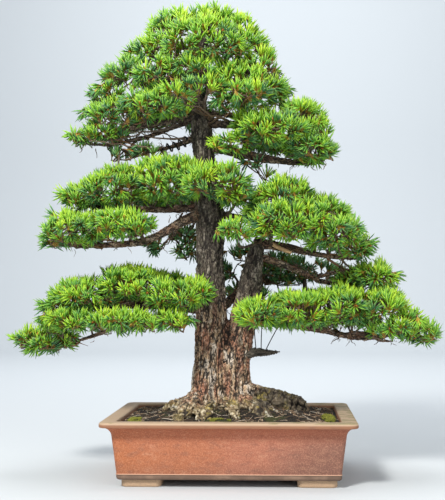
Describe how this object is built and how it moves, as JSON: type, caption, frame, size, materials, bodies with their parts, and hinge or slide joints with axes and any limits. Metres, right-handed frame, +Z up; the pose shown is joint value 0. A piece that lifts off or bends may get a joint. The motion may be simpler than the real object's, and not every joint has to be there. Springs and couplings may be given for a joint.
{
  "type": "potted bonsai pine tree",
  "caption": "Old twin-trunk bonsai pine with layered needle pads, rugged surface roots and mossy soil in an unglazed rectangular clay pot on corner feet.",
  "frame": {"origin": "middle of the whole object's footprint box, on the surface that the pot's feet stand on", "axes": "+X to the viewer's right along the pot's long side, +Y away from the viewer along the pot's short side, +Z up"},
  "size_m": [0.902, 0.3762, 0.999],
  "materials": {
    "fired_clay": "matte, unglazed, fine speckle, paler stained lip",
    "screen_plastic": "matte black mesh",
    "copper_wire": "dull aged copper",
    "training_wire": "black anodised, satin",
    "guy_wire": "weathered grey brown",
    "grit": "coarse pumice grit, matte",
    "soil": "dark damp soil with litter and rootlets",
    "moss": "short green moss",
    "bark": "flaky pine bark, warm brown to grey, deep fissures",
    "branch_bark": "finer scaly bark",
    "dead_wood": "weathered grey dead wood",
    "cut_wood": "pale bare cut wood",
    "needles": "pine needle tufts, bright green with yellow tips and orange sheaths"
  },
  "bodies": {
    "root": {"branch_back": "branch_bark", "branch_crown_left": "branch_bark", "branch_crown_left_low": "branch_bark", "branch_crown_right": "branch_bark", "branch_crown_right_low": "branch_bark", "branch_lower_left": "branch_bark", "branch_lower_left_tip": "branch_bark", "branch_lower_right": "branch_bark", "branch_lower_right_twisted": "branch_bark", "branch_middle_left": "branch_bark", "branch_middle_left_hanging": "branch_bark", "branch_middle_left_upper": "branch_bark", "branch_middle_right": "branch_bark", "branch_middle_right_upper": "branch_bark", "branch_right_small": "branch_bark", "branch_right_small_fork": "branch_bark", "branch_upper_left": "branch_bark", "branch_upper_left_low": "branch_bark", "branch_upper_right": "branch_bark", "branch_upper_right_top": "branch_bark", "branch_wired": "branch_bark", "cut_stub": "cut_wood", "dead_stub": "dead_wood", "drainage_grit": "grit", "drainage_screen_left": "screen_plastic", "drainage_screen_right": "screen_plastic", "guy_wire_left": "guy_wire", "guy_wire_middle": "guy_wire", "guy_wire_right": "guy_wire", "moss_back": "moss", "moss_front": "moss", "moss_left": "moss", "moss_right": "moss", "pad_apex": "needles", "pad_back": "needles", "pad_crown_front": "needles", "pad_crown_left": "needles", "pad_crown_right": "needles", "pad_lower_left": "needles", "pad_lower_left_front": "needles", "pad_lower_left_tip": "needles", "pad_lower_right": "needles", "pad_middle_left_hanging": "needles", "pad_middle_left_lower": "needles", "pad_middle_left_upper": "needles", "pad_middle_right": "needles", "pad_right_small": "needles", "pad_upper_left": "needles", "pad_upper_left_small": "needles", "pad_upper_right": "needles", "pad_upper_right_under": "needles", "pot": "fired_clay", "root_anchor_wire": "copper_wire", "screen_staple_left": "copper_wire", "screen_staple_right": "copper_wire", "soil": "soil", "training_wire": "training_wire", "trunk_and_roots": "bark"}
  },
  "joints": []
}
